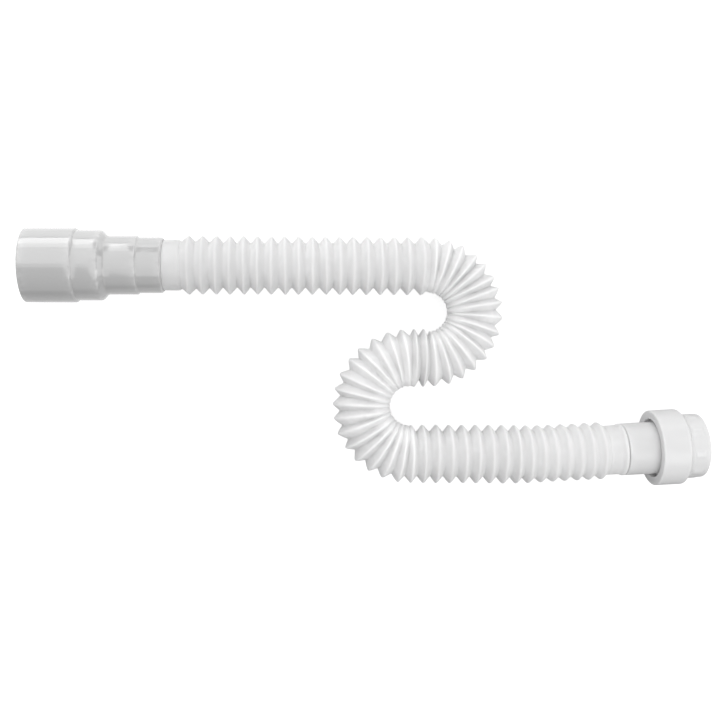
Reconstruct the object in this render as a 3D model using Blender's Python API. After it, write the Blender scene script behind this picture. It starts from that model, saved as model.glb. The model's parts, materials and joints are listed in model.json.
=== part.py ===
"""Flexible sink trap lying flat in an S: a corrugated waste hose with a stepped outlet adaptor
pressed over one end, and an inlet spigot with a loose coupling nut and its washer on the other.

Blender 4.5, metres, +Z up. The hose runs along +X from the adaptor, turns back on itself to the
right, and turns again to the left. The whole part is centred over the origin, lying on z = 0.
"""

import math

import bmesh
import bpy
import numpy as np
from mathutils import Vector

MM = 0.001
MARKER_SIZE = 10.0 * MM  # how large the empties are drawn
SHARP_ANGLE = math.radians(30.0)  # edges sharper than this stay sharp in the shading

# Clearances
FIT_GAP = 0.3 * MM  # between pieces that touch on the real trap
FLANGE_CLEARANCE = 0.9 * MM  # round the spigot's flange, inside the nut
MOUTH_CLEARANCE = 2.15 * MM  # round the spigot, in the nut's mouth

# Corrugated hose
HOSE_WALL = 1.2 * MM
CREST_RADIUS = 20.0 * MM
ROOT_RADIUS = 15.2 * MM
FIRST_ROOT_RADIUS = 16.25 * MM  # the pleats start shallow at the outlet end
SHALLOW_FIRST_COUNT = 4
LAST_CREST_RADIUS = 19.4 * MM  # and end shallow at the inlet end
LAST_ROOT_RADIUS = 16.5 * MM
SHALLOW_LAST_COUNT = 8
HOSE_SIDES = 16

OUTLET_CUFF_RADIUS = 17.15 * MM
OUTLET_CUFF_SHOWN = 12.5 * MM
INLET_CUFF_RADIUS = 16.7 * MM
INLET_CUFF_LENGTH = 12.0 * MM
CUFF_SLOPE = 1.5 * MM  # from the last root up to a plain cuff
LIP_FLARE = 0.9 * MM
LIP_LENGTH = 1.6 * MM

LONG_RUN_PITCH = 9.34 * MM
LONG_RUN_PLEAT_COUNT = 18
FIRST_BEND_RADIUS = 31.6 * MM
FIRST_BEND_PLEAT_COUNT = 16
MIDDLE_RUN_PITCH = 6.2 * MM
MIDDLE_RUN_PLEAT_COUNT = 2
SECOND_BEND_RADIUS = 33.0 * MM
SECOND_BEND_PLEAT_COUNT = 16
SECOND_BEND_OVERRUN = 4.6 * MM  # its pleats run this far into the short run
SHORT_RUN_PITCH = 9.0 * MM
SHORT_RUN_PLEAT_COUNT = 7  # before the slight turn
SLIGHT_TURN = math.radians(3.2)
SLIGHT_TURN_PLEAT_COUNT = 3
END_RUN_PLEAT_COUNT = 5
END_RUN_PITCH = 8.05 * MM  # from the slight turn to the cuff
HALF_TURN = math.pi

# On the inside of a bend the pleats are pressed into low ripples: root and crest radius there, and
# the share of the way from the middle to the inside where they are pressed in full
FIRST_BEND_INSIDE = (17.5 * MM, 18.4 * MM)
SECOND_BEND_INSIDE = (18.9 * MM, 19.8 * MM)
NO_BEND = (0.0, 0.0)
PRESSED_SHARE = 0.85

# Outlet adaptor, from its open rim to the hose
ADAPTOR_SIDES = 48
ADAPTOR_WALL = 2.5 * MM
RIM_BAND_RADIUS = 25.35 * MM
RIM_BAND_LENGTH = 35.6 * MM
SECOND_BAND_RADIUS = 24.0 * MM
SECOND_BAND_LENGTH = 17.0 * MM
CONE_LENGTH = 3.5 * MM
THIRD_BAND_RADIUS = 20.0 * MM
THIRD_BAND_LENGTH = 20.5 * MM
STEP_LENGTH = 1.0 * MM
SLEEVE_WALL = 1.55 * MM
SLEEVE_LENGTH = 16.5 * MM
LEDGE_LIP = 0.35 * MM  # how far the stop ledge stands in past the hose's bore
LEDGE_LENGTH = 2.0 * MM
STEP_BEVEL = 1.0 * MM  # on the ends of the rim band and the sleeve
EDGE_BEVEL = 0.5 * MM

# Inlet spigot, from the hose cuff's lip to its flange
SPIGOT_SIDES = 48
SPIGOT_SHOWN = 19.5 * MM
TAIL_SHORTER = 1.0 * MM  # than the cuff that it is pushed into
TAIL_WALL = 1.7 * MM
BARB_COUNT = 3
BARB_DEPTH = 0.7 * MM
BARB_RISE = 0.8  # the share of each barb that is its slope
FLANGE_CATCH = 0.85 * MM  # how far the flange stands out past the nut's mouth
FLANGE_THICKNESS = 3.0 * MM

# Coupling nut, from its mouth to its rim
GRIP_COUNT = 9
COLUMNS_PER_GRIP = 6
RAISED_COLUMNS = 2  # of those, the ones on the grip rib
NUT_SIDES = GRIP_COUNT * COLUMNS_PER_GRIP
NUT_SHOULDER = 3.5 * MM
NUT_WALL = 4.0 * MM
NUT_RING_LENGTH = 18.0 * MM
NUT_CONE_LENGTH = 2.2 * MM
NUT_SKIRT_LENGTH = 12.6 * MM
NUT_BEVEL = 0.8 * MM
THREAD_RADIUS = 16.62 * MM  # the outer radius of a G1 thread; its ridges stand inside this bore
THREAD_LEAD_IN = 1.2 * MM
THREAD_RELIEF = 1.9 * MM  # free length between the washer and the thread
SKIRT_WALL = 4.88 * MM
GRIP_HEIGHT = 0.8 * MM
GRIP_START = 1.4 * MM  # from the cone
GRIP_LENGTH = 8.0 * MM
GRIP_SLOPE = 1.0 * MM
FIRST_GRIP_COLUMN = 4

# Sealing washer
WASHER_SIDES = 36
WASHER_THICKNESS = 3.0 * MM
WASHER_BORE_CLEARANCE = 0.25 * MM  # past the spigot's bore

# What fits takes its size from its neighbour
SOCKET_RADIUS = OUTLET_CUFF_RADIUS + FIT_GAP
SLEEVE_RADIUS = SOCKET_RADIUS + SLEEVE_WALL
LEDGE_RADIUS = OUTLET_CUFF_RADIUS - HOSE_WALL - LEDGE_LIP
SOCKET_DEPTH = SLEEVE_LENGTH
SPIGOT_RADIUS = INLET_CUFF_RADIUS + LIP_FLARE
TAIL_RADIUS = INLET_CUFF_RADIUS - HOSE_WALL - FIT_GAP
TAIL_LENGTH = INLET_CUFF_LENGTH - TAIL_SHORTER
SPIGOT_BORE = TAIL_RADIUS - TAIL_WALL
MOUTH_RADIUS = SPIGOT_RADIUS + MOUTH_CLEARANCE
FLANGE_RADIUS = MOUTH_RADIUS + FLANGE_CATCH
CAVITY_RADIUS = FLANGE_RADIUS + FLANGE_CLEARANCE
NUT_RING_RADIUS = CAVITY_RADIUS + NUT_WALL
SKIRT_RADIUS = THREAD_RADIUS + SKIRT_WALL
NUT_START = FIT_GAP + SPIGOT_SHOWN  # the nut's mouth, along the spigot from the cuff's lip
FLANGE_START = NUT_START + NUT_SHOULDER + FIT_GAP
WASHER_START = FLANGE_START + FLANGE_THICKNESS + FIT_GAP
THREAD_START = WASHER_START + WASHER_THICKNESS + THREAD_RELIEF - NUT_START
OUTLET_HEIGHT = RIM_BAND_RADIUS  # each height lets the widest ring there rest on z = 0
HOSE_HEIGHT = CREST_RADIUS
INLET_HEIGHT = NUT_RING_RADIUS

# The hose's stretches: length, turn to the left, number of pleats, radii inside the bend
OUTLET_CUFF_LENGTH = SOCKET_DEPTH - FIT_GAP + OUTLET_CUFF_SHOWN
SHORT_RUN_LENGTH = SECOND_BEND_OVERRUN + SHORT_RUN_PLEAT_COUNT * SHORT_RUN_PITCH
SLIGHT_TURN_LENGTH = SLIGHT_TURN_PLEAT_COUNT * END_RUN_PITCH
STRETCHES = [
    (OUTLET_CUFF_LENGTH, 0.0, 0, NO_BEND),
    (LONG_RUN_PLEAT_COUNT * LONG_RUN_PITCH, 0.0, LONG_RUN_PLEAT_COUNT, NO_BEND),
    (HALF_TURN * FIRST_BEND_RADIUS, -HALF_TURN, FIRST_BEND_PLEAT_COUNT, FIRST_BEND_INSIDE),
    (MIDDLE_RUN_PLEAT_COUNT * MIDDLE_RUN_PITCH, 0.0, MIDDLE_RUN_PLEAT_COUNT, NO_BEND),
    (HALF_TURN * SECOND_BEND_RADIUS, HALF_TURN, SECOND_BEND_PLEAT_COUNT, SECOND_BEND_INSIDE),
    (SHORT_RUN_LENGTH, 0.0, SHORT_RUN_PLEAT_COUNT, NO_BEND),
    (SLIGHT_TURN_LENGTH, SLIGHT_TURN, SLIGHT_TURN_PLEAT_COUNT, NO_BEND),
    (END_RUN_PLEAT_COUNT * END_RUN_PITCH, 0.0, END_RUN_PLEAT_COUNT, NO_BEND),
    (INLET_CUFF_LENGTH, 0.0, 0, NO_BEND),
]
SECOND_BEND = 4  # its place in this list
LONG_RUN_END = STRETCHES[0][0] + STRETCHES[1][0]
HOSE_LENGTH = sum(stretch[0] for stretch in STRETCHES)
PLEATS_END = HOSE_LENGTH - INLET_CUFF_LENGTH
SHORT_RUN_START = sum(stretch[0] for stretch in STRETCHES[: SECOND_BEND + 1])
PLEAT_COUNT = sum(stretch[2] for stretch in STRETCHES)


def clear_scene():
    for thing in list(bpy.data.objects):
        bpy.data.objects.remove(thing, do_unlink=True)


def plastic(name, colour, roughness):
    material = bpy.data.materials.new(name)
    material.use_nodes = True
    shader = material.node_tree.nodes["Principled BSDF"]
    shader.inputs["Base Color"].default_value = (*colour, 1.0)
    shader.inputs["Roughness"].default_value = roughness
    shader.inputs["Metallic"].default_value = 0.0
    return material


def empty(name, parent=None, location=(0.0, 0.0, 0.0), heading=0.0):
    marker = bpy.data.objects.new(name, None)
    marker.empty_display_size = MARKER_SIZE
    marker.parent = parent
    marker.location = location
    marker.rotation_euler = (0.0, 0.0, heading)
    bpy.context.scene.collection.objects.link(marker)
    return marker


def add_piece(name, mesh, material, parent, location=(0.0, 0.0, 0.0)):
    mesh.materials.append(material)
    mesh.shade_smooth()
    mesh.set_sharp_from_angle(angle=SHARP_ANGLE)
    piece = bpy.data.objects.new(name, mesh)
    piece.parent = parent
    piece.location = location
    bpy.context.scene.collection.objects.link(piece)
    return piece


def turned_mesh(name, outline, sides):
    """The closed outline, as (x, radius) points, spun once round the X axis."""
    form = bmesh.new()
    corners = [form.verts.new((x, 0.0, radius)) for x, radius in outline]
    edges = [form.edges.new((a, b)) for a, b in zip(corners, corners[1:] + corners[:1])]
    bmesh.ops.spin(
        form,
        geom=corners + edges,
        cent=(0.0, 0.0, 0.0),
        axis=(1.0, 0.0, 0.0),
        angle=2.0 * math.pi,
        steps=sides,
        use_merge=True,
        use_duplicate=False,
    )
    bmesh.ops.recalc_face_normals(form, faces=form.faces)
    mesh = bpy.data.meshes.new(name)
    form.to_mesh(mesh)
    form.free()
    return mesh


def smooth_step(share):
    """From 0 to 1 as share does, with a level start and end."""
    share = min(max(share, 0.0), 1.0)
    return share * share * (3.0 - 2.0 * share)


def axis_height(along):
    """The hose sags to the surface between its two wider end pieces."""
    sag = smooth_step((along - OUTLET_CUFF_LENGTH) / (LONG_RUN_END - OUTLET_CUFF_LENGTH))
    rise = smooth_step((along - SHORT_RUN_START) / (PLEATS_END - SHORT_RUN_START))
    height = OUTLET_HEIGHT + (HOSE_HEIGHT - OUTLET_HEIGHT) * sag
    return height + (INLET_HEIGHT - HOSE_HEIGHT) * rise


def centre_line(along):
    """The axis point at this length along the hose, and its heading from +X."""
    x, y, heading, left = 0.0, 0.0, 0.0, along
    for length, turn, _, _ in STRETCHES:
        step = min(left, length)
        turned = turn * step / length
        # A chord of the arc: its length is shortened by sin(half)/half.
        half = turned / 2.0
        chord = step * (math.sin(half) / half if half else 1.0)
        x += chord * math.cos(heading + half)
        y += chord * math.sin(heading + half)
        heading += turned
        left -= step
        if left <= 0.0:
            break
    return Vector((x, y, axis_height(along))), heading


def pleat_radii(index):
    """Root and crest radius of one pleat, counted from the outlet end; shallower near both ends."""
    start = smooth_step(1.0 - index / SHALLOW_FIRST_COUNT)
    end = smooth_step((index - (PLEAT_COUNT - SHALLOW_LAST_COUNT) + 1) / (SHALLOW_LAST_COUNT / 2))
    root = ROOT_RADIUS + (FIRST_ROOT_RADIUS - ROOT_RADIUS) * start
    root += (LAST_ROOT_RADIUS - root) * end
    crest = CREST_RADIUS + (LAST_CREST_RADIUS - CREST_RADIUS) * end
    return root, crest


def hose_rings():
    """(length along the hose, outer radius, outer radius inside the bend, side of the bend's inside)
    of each ring: a plain cuff, root and crest by turns, and a cuff that ends in a flared lip. The
    side is 1 for left, -1 for right and 0 where the hose is straight."""
    rings = [
        (0.0, OUTLET_CUFF_RADIUS, 0.0, 0),
        (OUTLET_CUFF_LENGTH - CUFF_SLOPE, OUTLET_CUFF_RADIUS, 0.0, 0),
    ]
    start = 0.0
    end = 0.0
    index = 0
    for place, (length, turn, pleats, inside) in enumerate(STRETCHES):
        side = 0 if inside == NO_BEND else round(math.copysign(1, turn))
        end += length
        pleats_end = end + (SECOND_BEND_OVERRUN if place == SECOND_BEND else 0.0)
        for step in range(pleats):
            root, crest = pleat_radii(index)
            pitch = (pleats_end - start) / pleats
            rings.append((start + step * pitch, root, inside[0], side))
            rings.append((start + (step + 0.5) * pitch, crest, inside[1], side))
            index += 1
        start = pleats_end
    rings += [
        (PLEATS_END, LAST_ROOT_RADIUS, 0.0, 0),
        (PLEATS_END + CUFF_SLOPE, INLET_CUFF_RADIUS, 0.0, 0),
        (HOSE_LENGTH - 2.0 * LIP_LENGTH, INLET_CUFF_RADIUS, 0.0, 0),
        (HOSE_LENGTH - LIP_LENGTH, INLET_CUFF_RADIUS + LIP_FLARE, 0.0, 0),
        (HOSE_LENGTH, INLET_CUFF_RADIUS + LIP_FLARE, 0.0, 0),
    ]
    return rings


def hose_mesh():
    """Each ring stands upright across the axis; the inner wall lies one wall inside the outer, and
    the two are joined at both ends. The lip flares outside only, so the tail's bore stays plain."""
    rings = hose_rings()
    widest_bore = INLET_CUFF_RADIUS - HOSE_WALL
    outer, inner = [], []
    for along, radius, inside, bend_side in rings:
        centre, heading = centre_line(along)
        left = Vector((-math.sin(heading), math.cos(heading), 0.0))
        outer_ring, inner_ring = [], []
        for column in range(HOSE_SIDES):
            angle = 2.0 * math.pi * column / HOSE_SIDES
            # How far the bend has pressed this column in, from 0 to 1.
            pressed = smooth_step(bend_side * math.sin(angle) / PRESSED_SHARE)
            reach = radius + (inside - radius) * pressed
            bore = min(reach - HOSE_WALL, widest_bore) if along > PLEATS_END else reach - HOSE_WALL
            outward = left * math.sin(angle) + Vector((0.0, 0.0, math.cos(angle)))
            outer_ring.append(centre + outward * reach)
            inner_ring.append(centre + outward * bore)
        outer += outer_ring
        inner += inner_ring
    count = len(rings)
    grid = np.arange(2 * count * HOSE_SIDES).reshape(2 * count, HOSE_SIDES)
    # Out along the outer wall and back along the inner one: the rows form a closed loop.
    loop = np.concatenate([grid[:count], grid[count:][::-1], grid[:1]])
    next_column = np.roll(loop, -1, axis=1)
    faces = np.stack([loop[:-1], next_column[:-1], next_column[1:], loop[1:]], axis=-1)
    mesh = bpy.data.meshes.new("corrugated_hose")
    mesh.from_pydata(outer + inner, [], faces.reshape(-1, 4).tolist())
    form = bmesh.new()
    form.from_mesh(mesh)
    bmesh.ops.recalc_face_normals(form, faces=form.faces)
    form.to_mesh(mesh)
    form.free()
    return mesh


def adaptor_outline():
    """Steps down from the rim to the sleeve outside; inside, a wide bore, a cone, a narrow bore, and
    the socket with its stop ledge."""
    second = RIM_BAND_LENGTH
    cone = second + SECOND_BAND_LENGTH
    third = cone + CONE_LENGTH
    step = third + THIRD_BAND_LENGTH
    sleeve = step + STEP_LENGTH
    end = sleeve + SLEEVE_LENGTH
    ledge = end - SOCKET_DEPTH
    neck = ledge - LEDGE_LENGTH
    wide_bore = RIM_BAND_RADIUS - ADAPTOR_WALL
    second_bore = SECOND_BAND_RADIUS - ADAPTOR_WALL
    third_bore = THIRD_BAND_RADIUS - ADAPTOR_WALL
    outer = [
        (0.0, RIM_BAND_RADIUS - EDGE_BEVEL),
        (EDGE_BEVEL, RIM_BAND_RADIUS),
        (second - STEP_BEVEL, RIM_BAND_RADIUS),
        (second, RIM_BAND_RADIUS - STEP_BEVEL),
        (second, SECOND_BAND_RADIUS),
        (cone, SECOND_BAND_RADIUS),
        (third, THIRD_BAND_RADIUS),
        (step, THIRD_BAND_RADIUS),
        (sleeve, SLEEVE_RADIUS),
        (end - STEP_BEVEL, SLEEVE_RADIUS),
        (end, SLEEVE_RADIUS - STEP_BEVEL),
    ]
    inner = [
        (end, SOCKET_RADIUS),
        (ledge, SOCKET_RADIUS),
        (ledge, LEDGE_RADIUS),
        (neck, LEDGE_RADIUS),
        (neck - LEDGE_LENGTH, third_bore),
        (third - ADAPTOR_WALL / 2.0, third_bore),
        (cone - ADAPTOR_WALL / 2.0, second_bore),
        (second - ADAPTOR_WALL, second_bore),
        (second - 2.0 * ADAPTOR_WALL, wide_bore),
        (0.0, wide_bore),
    ]
    return outer + inner, ledge


def spigot_outline():
    """A barbed tail in the hose cuff, a shoulder against the cuff's lip, a plain neck, and a flange
    that the nut pulls on."""
    valley = TAIL_RADIUS - BARB_DEPTH
    barb = TAIL_LENGTH / BARB_COUNT
    points = [(-TAIL_LENGTH, SPIGOT_BORE), (-TAIL_LENGTH, valley)]
    for index in range(BARB_COUNT):
        crest = -TAIL_LENGTH + (index + BARB_RISE) * barb
        points += [(crest, TAIL_RADIUS), (crest, valley)]
    flange_end = FLANGE_START + FLANGE_THICKNESS
    points += [
        (FIT_GAP, valley),
        (FIT_GAP, SPIGOT_RADIUS - EDGE_BEVEL),
        (FIT_GAP + EDGE_BEVEL, SPIGOT_RADIUS),
        (FLANGE_START, SPIGOT_RADIUS),
        (FLANGE_START, FLANGE_RADIUS - EDGE_BEVEL),
        (FLANGE_START + EDGE_BEVEL, FLANGE_RADIUS),
        (flange_end, FLANGE_RADIUS),
        (flange_end, SPIGOT_BORE),
    ]
    return points


def nut_outline():
    """A thick ring with the mouth, a cone and the slimmer skirt outside; inside, the shoulder, a
    cavity for flange and washer, and the thread's bore."""
    cone_end = NUT_RING_LENGTH + NUT_CONE_LENGTH
    end = cone_end + NUT_SKIRT_LENGTH
    grip_start = cone_end + GRIP_START
    grip_end = grip_start + GRIP_LENGTH
    return [
        (0.0, MOUTH_RADIUS),
        (0.0, NUT_RING_RADIUS - NUT_BEVEL),
        (NUT_BEVEL, NUT_RING_RADIUS),
        (NUT_RING_LENGTH, NUT_RING_RADIUS),
        (cone_end, SKIRT_RADIUS),
        (grip_start, SKIRT_RADIUS),
        (grip_start + GRIP_SLOPE, SKIRT_RADIUS),
        (grip_end - GRIP_SLOPE, SKIRT_RADIUS),
        (grip_end, SKIRT_RADIUS),
        (end - NUT_BEVEL, SKIRT_RADIUS),
        (end, SKIRT_RADIUS - NUT_BEVEL),
        (end, THREAD_RADIUS + THREAD_LEAD_IN),
        (end - THREAD_LEAD_IN, THREAD_RADIUS),
        (THREAD_START, THREAD_RADIUS),
        (THREAD_START, CAVITY_RADIUS),
        (NUT_SHOULDER, CAVITY_RADIUS),
        (NUT_SHOULDER, MOUTH_RADIUS),
    ]


def raise_grips(mesh):
    """Lifts some columns of points in every period of the skirt into a low grip rib."""
    grip_start = NUT_RING_LENGTH + NUT_CONE_LENGTH + GRIP_START
    tops = (grip_start + GRIP_SLOPE, grip_start + GRIP_LENGTH - GRIP_SLOPE)
    nearness = 0.01 * MM
    column_angle = 2.0 * math.pi / NUT_SIDES
    for vertex in mesh.vertices:
        x, y, z = vertex.co
        radius = math.hypot(y, z)
        column = round(math.atan2(y, z) / column_angle) - FIRST_GRIP_COLUMN
        at_top = any(abs(x - top) < nearness for top in tops) and radius > SKIRT_RADIUS - nearness
        if at_top and column % COLUMNS_PER_GRIP < RAISED_COLUMNS:
            scale = (radius + GRIP_HEIGHT) / radius
            vertex.co = (x, y * scale, z * scale)


def washer_outline():
    bore = SPIGOT_BORE + WASHER_BORE_CLEARANCE
    edge = CAVITY_RADIUS - FIT_GAP
    return [(0.0, bore), (0.0, edge), (WASHER_THICKNESS, edge), (WASHER_THICKNESS, bore)]


def lay_on_floor(root):
    """Moves the root so that the part is centred over the origin and rests on z = 0."""
    bpy.context.view_layer.update()
    corners = [
        piece.matrix_world @ vertex.co
        for piece in bpy.data.objects
        if piece.type == "MESH"
        for vertex in piece.data.vertices
    ]
    low = Vector([min(corner[axis] for corner in corners) for axis in range(3)])
    high = Vector([max(corner[axis] for corner in corners) for axis in range(3)])
    middle = (low + high) / 2.0
    root.location = (-middle.x, -middle.y, -low.z)
    bpy.context.view_layer.update()


def build():
    clear_scene()
    white = plastic("white polypropylene", (0.80, 0.80, 0.79), 0.38)
    pale = plastic("glossy adaptor plastic", (0.58, 0.58, 0.57), 0.28)
    neck_white = plastic("spigot plastic", (0.74, 0.74, 0.73), 0.36)
    nut_white = plastic("nut plastic", (0.80, 0.80, 0.78), 0.34)
    rubber = plastic("washer rubber", (0.05, 0.05, 0.05), 0.75)

    trap = empty("trap")
    add_piece("corrugated_hose", hose_mesh(), white, trap)

    outline, ledge = adaptor_outline()
    outlet_end = empty("outlet_end", trap, (-ledge - FIT_GAP, 0.0, OUTLET_HEIGHT))
    adaptor = turned_mesh("outlet_adaptor", outline, ADAPTOR_SIDES)
    add_piece("outlet_adaptor", adaptor, pale, outlet_end)

    lip, heading = centre_line(HOSE_LENGTH)
    inlet_end = empty("inlet_end", trap, lip, heading)
    spigot = turned_mesh("inlet_spigot", spigot_outline(), SPIGOT_SIDES)
    add_piece("inlet_spigot", spigot, neck_white, inlet_end)

    # The nut turns about this empty's X axis.
    nut_turn = empty("nut_turn", inlet_end, (NUT_START, 0.0, 0.0))
    nut = turned_mesh("coupling_nut", nut_outline(), NUT_SIDES)
    raise_grips(nut)
    add_piece("coupling_nut", nut, nut_white, nut_turn)
    washer = turned_mesh("sealing_washer", washer_outline(), WASHER_SIDES)
    add_piece("sealing_washer", washer, rubber, nut_turn, (WASHER_START - NUT_START, 0.0, 0.0))

    lay_on_floor(trap)


build()
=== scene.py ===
import json
import math

import bpy
import numpy as np
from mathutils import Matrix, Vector


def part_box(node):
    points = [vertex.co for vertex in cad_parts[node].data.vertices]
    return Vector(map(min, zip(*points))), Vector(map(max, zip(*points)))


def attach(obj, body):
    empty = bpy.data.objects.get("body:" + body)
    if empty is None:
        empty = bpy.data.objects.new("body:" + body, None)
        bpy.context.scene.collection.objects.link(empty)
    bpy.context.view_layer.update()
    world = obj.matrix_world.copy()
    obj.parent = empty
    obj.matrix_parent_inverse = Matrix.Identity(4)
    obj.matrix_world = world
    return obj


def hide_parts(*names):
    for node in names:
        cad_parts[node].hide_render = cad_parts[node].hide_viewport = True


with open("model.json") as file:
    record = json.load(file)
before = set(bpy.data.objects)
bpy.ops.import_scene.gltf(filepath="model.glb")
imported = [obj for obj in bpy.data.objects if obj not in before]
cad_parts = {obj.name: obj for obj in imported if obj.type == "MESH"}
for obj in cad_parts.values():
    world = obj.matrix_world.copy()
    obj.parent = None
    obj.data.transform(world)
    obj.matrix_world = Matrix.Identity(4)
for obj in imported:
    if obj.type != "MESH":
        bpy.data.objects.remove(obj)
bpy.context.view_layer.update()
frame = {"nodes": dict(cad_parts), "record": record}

mm = 0.001

for thing in [o for o in bpy.data.objects if o.type in ("CAMERA", "LIGHT")]:
    bpy.data.objects.remove(thing, do_unlink=True)
print("frame loaded:", ", ".join(sorted(frame["nodes"])))

# Where things are, read from the frame
adaptorLow, adaptorHigh = (np.array(corner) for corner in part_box("outlet_adaptor"))
turnJoint = next(j for j in frame["record"]["behaviour"]["joints"] if j["name"] == "nut_spin")
nutMouth = np.array(turnJoint["pos_m"])  # centre of the nut's mouth, on the joint's axis
nutAxis = np.array(turnJoint["axis"]) / np.linalg.norm(turnJoint["axis"])
outletAxisY = (adaptorLow[1] + adaptorHigh[1]) / 2
outletAxisZ = (adaptorLow[2] + adaptorHigh[2]) / 2


# Camera: straight down on the part, as the photograph looks
view = {
    "height": 0.650,  # above the level of the axes
    "level": 0.023,
    "photoWidth": 0.4932,  # what the photograph spans at that level
    "lookAt": (-0.0019, -0.0024),  # the point in the middle of the photograph
    "standsAtX": -0.046,  # left of that, so that both rims bulge as they do there
    "sensor": 36.0,  # width in millimetres
    "nearest": 0.05,  # what is nearer isn't drawn
}
camera = bpy.data.objects.new("camera", bpy.data.cameras.new("camera"))
bpy.context.scene.collection.objects.link(camera)
camera.data.sensor_width = view["sensor"]
camera.data.lens = view["sensor"] * view["height"] / view["photoWidth"]
camera.data.shift_x = (view["lookAt"][0] - view["standsAtX"]) / view["photoWidth"]
camera.location = (view["standsAtX"], view["lookAt"][1], view["height"] + view["level"])
camera.data.clip_start = view["nearest"]
bpy.context.scene.camera = camera
print("camera ready")


# Mesh helpers: every piece is a grid of points worked out at once

# A grid of points, rows by columns, becomes one quad per cell. Rows and columns both close on
# themselves, so each piece is a solid ring: out along its outside and back along its inside.
def gridPiece(name, points, material, sharpAngle=40):
    rows, columns = points.shape[:2]
    index = np.arange(rows * columns).reshape(rows, columns)
    nextRow = np.roll(index, -1, axis=0)
    cell = [index, nextRow, np.roll(nextRow, -1, axis=1), np.roll(index, -1, axis=1)]
    quads = np.stack(cell, axis=-1)
    corners = quads.reshape(-1)
    mesh = bpy.data.meshes.new(name)
    mesh.vertices.add(rows * columns)
    mesh.vertices.foreach_set("co", points.reshape(-1).astype(np.float32))
    mesh.loops.add(corners.size)
    mesh.loops.foreach_set("vertex_index", corners.astype(np.int32))
    mesh.polygons.add(rows * columns)
    mesh.polygons.foreach_set("loop_start", np.arange(0, corners.size, 4, dtype=np.int32))
    mesh.update()
    # Unwrapped as it is made: u goes round the axis, v along the rows.
    u = np.arange(columns)[None, :, None] + np.array([0, 0, 1, 1])
    v = np.arange(rows)[:, None, None] + np.array([0, 1, 1, 0])
    u, v = np.broadcast_arrays(u / columns, v / rows)
    layer = mesh.uv_layers.new(name="UVMap")
    layer.data.foreach_set("uv", np.stack([u, v], axis=-1).reshape(-1).astype(np.float32))
    mesh.shade_smooth()
    mesh.set_sharp_from_angle(angle=math.radians(sharpAngle))
    mesh.materials.append(material)
    piece = bpy.data.objects.new(name, mesh)
    bpy.context.scene.collection.objects.link(piece)
    return piece


# One number per point, for a material to read
def setAttribute(piece, name, values):
    attribute = piece.data.attributes.new(name, "FLOAT", "POINT")
    attribute.data.foreach_set("value", np.ascontiguousarray(values, np.float32).reshape(-1))


# A closed outline with rounded corners: at each corner the path leaves the straight at one
# tangent point, follows the curve (1-t)^2 A + 2t(1-t) P + t^2 B, and joins the next straight. A
# fillet never takes more than this share of the shorter straight beside it.
def filleted(corners, steps=5, mostShare=0.45):
    corners = np.array(corners, float)
    points, radii = corners[:, :2], corners[:, 2:]
    before = np.roll(points, 1, axis=0) - points
    after = np.roll(points, -1, axis=0) - points
    lengthBefore = np.linalg.norm(before, axis=1, keepdims=True)
    lengthAfter = np.linalg.norm(after, axis=1, keepdims=True)
    reach = np.minimum(radii, mostShare * np.minimum(lengthBefore, lengthAfter))
    start = (points + before / lengthBefore * reach)[:, None]
    end = (points + after / lengthAfter * reach)[:, None]
    t = np.linspace(0, 1, steps)[None, :, None]
    return ((1 - t) ** 2 * start + 2 * t * (1 - t) * points[:, None] + t ** 2 * end).reshape(-1, 2)


# The same closed outline with extra points, so that no straight is longer than this
def subdivided(outline, longest):
    step = np.roll(outline, -1, axis=0) - outline
    pieces = np.maximum(1, np.ceil(np.linalg.norm(step, axis=1) / longest)).astype(int)
    count = np.arange(pieces.sum()) - np.repeat(np.cumsum(pieces) - pieces, pieces)
    each = np.repeat(step / pieces[:, None], pieces, axis=0)
    return np.repeat(outline, pieces, axis=0) + each * count[:, None]


# How sharply the closed outline turns at each point: 1 on an outside edge, -1 in an inside corner,
# 0 along a straight. The turn is the signed angle between the steps before and after, with a share
# of the neighbours' turns so that a fillet counts as one edge, divided by the turn that counts as
# a whole edge.
def edgeMask(outline, neighbourShare=0.6, fullTurn=0.6):
    step = np.roll(outline, -1, axis=0) - outline
    heading = np.arctan2(step[:, 1], step[:, 0])
    turn = (np.roll(heading, 1) - heading + math.pi) % (2 * math.pi) - math.pi
    spread = turn + neighbourShare * (np.roll(turn, 1) + np.roll(turn, -1))
    return np.clip(spread / fullTurn, -1, 1)


# The outline's (x, radius) points carried round the X axis as (x, r sin a, r cos a); bump may add
# a height that depends on x, r and the angle.
def turned(outline, columns, bump=None):
    angle = 2 * math.pi * np.arange(columns)[None, :] / columns
    x = np.repeat(outline[:, :1], columns, axis=1)
    radius = np.repeat(outline[:, 1:], columns, axis=1)
    if bump is not None:
        radius = radius + bump(x, radius, angle)
    return np.stack([x, radius * np.sin(angle), radius * np.cos(angle)], axis=-1)


# Turned points moved to their origin, with their X along a level axis
def placed(points, origin, axis):
    left = np.array([-axis[1], axis[0], 0.0])
    up = np.array([0.0, 0.0, 1.0])
    return origin + points[..., :1] * axis + points[..., 1:2] * left + points[..., 2:] * up


# From 0 to 1 as the share does, level at both ends: 3 s^2 - 2 s^3
def smoothStep(share):
    share = np.clip(share, 0, 1)
    return share * share * (3 - 2 * share)


# A turned piece from its corners (x, radius, fillet), with its edge mask for the material
def turnedPiece(name, corners, columns, longest, origin, axis, material, bump=None):
    outline = subdivided(filleted(corners), longest)
    points = placed(turned(outline, columns, bump), origin, axis)
    piece = gridPiece(name + "_surface", points, material)
    setAttribute(piece, "edge", np.repeat(edgeMask(outline), columns))
    return piece


# Shader groups shared by the plastics

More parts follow.
